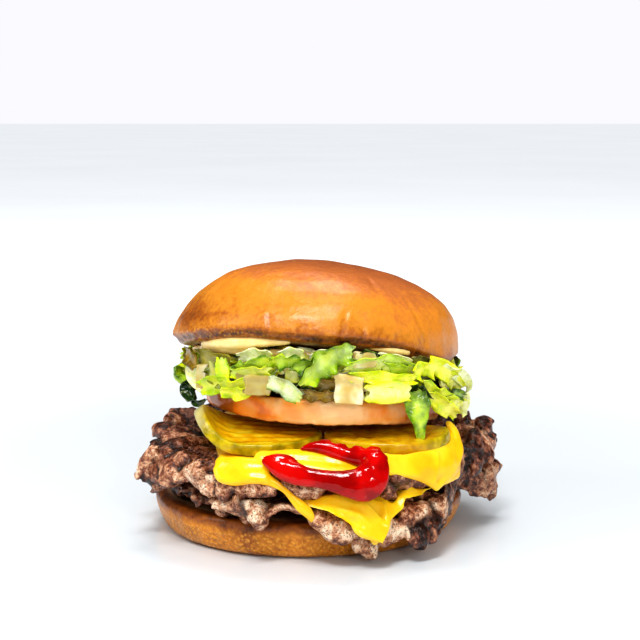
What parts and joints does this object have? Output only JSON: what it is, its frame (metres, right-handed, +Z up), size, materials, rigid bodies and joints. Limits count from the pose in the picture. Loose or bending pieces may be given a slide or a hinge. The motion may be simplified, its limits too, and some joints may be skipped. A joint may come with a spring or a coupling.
{
  "type": "double cheeseburger",
  "caption": "Stacked burger on a glazed brioche bun with ragged smashed patties, melted cheese, ketchup, crinkle-cut pickles, tomato and shredded salad.",
  "frame": {"origin": "middle of the bun base's flat underside", "axes": "+Z up through the stack; -Y is the front, where the ketchup and the pickles show; +X to the right as seen from the front"},
  "size_m": [0.1271, 0.1279, 0.0933],
  "materials": {
    "bun": "glazed golden brioche crust, shiny on the lid and toasted on the base",
    "beef": "seared, crumbly and greasy",
    "cheese": "melted, smooth and shiny",
    "ketchup": "wet and glossy",
    "pickle": "wet, slightly clear",
    "tomato": "wet flesh with a smooth skin",
    "salad": "crisp, damp leaves, slightly clear",
    "spread": "creamy, semi-gloss"
  },
  "bodies": {
    "root": {"bun_base": "bun", "patty_lower": "beef", "cheese_lower": "cheese", "patty_upper": "beef", "cheese_upper": "cheese", "ketchup": "ketchup", "pickle_left": "pickle", "pickle_right": "pickle", "tomato_slice": "tomato", "salad": "salad", "spread": "spread", "bun_lid": "bun"}
  },
  "joints": []
}
